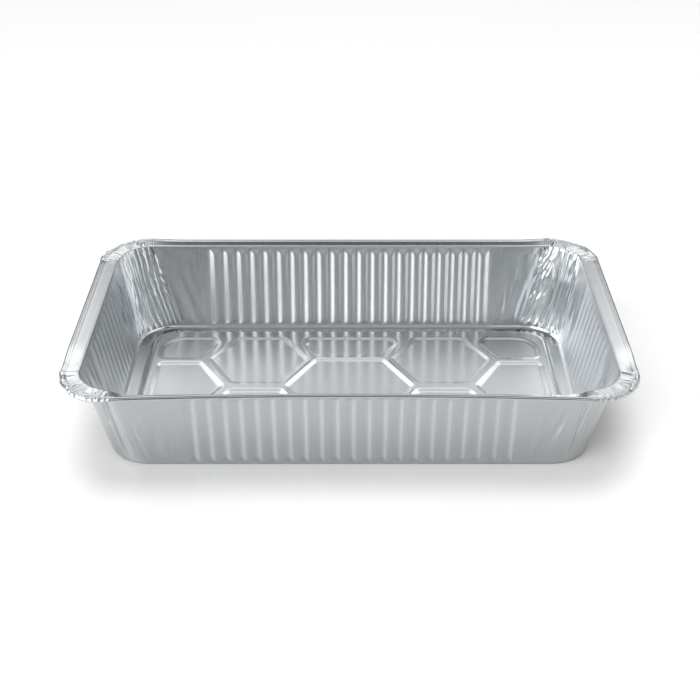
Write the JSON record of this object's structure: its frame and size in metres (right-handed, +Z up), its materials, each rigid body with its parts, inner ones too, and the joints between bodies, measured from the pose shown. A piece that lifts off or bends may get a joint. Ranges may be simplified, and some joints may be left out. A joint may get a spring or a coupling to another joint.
{
  "type": "foil tray",
  "caption": "Deep rectangular aluminium foil tray with fluted walls, gathered corners, a rolled rim and a raised honeycomb base, for baking, serving and carrying food.",
  "frame": {"origin": "centre of the underside, on the surface the tray stands on", "axes": "+X along the tray's longer side, +Z up through the open mouth"},
  "size_m": [0.527, 0.325, 0.0935],
  "materials": {
    "foil": "bright rolled foil, fine streaks, crumpled at the corners"
  },
  "bodies": {
    "root": {"tray": "foil"}
  },
  "joints": []
}
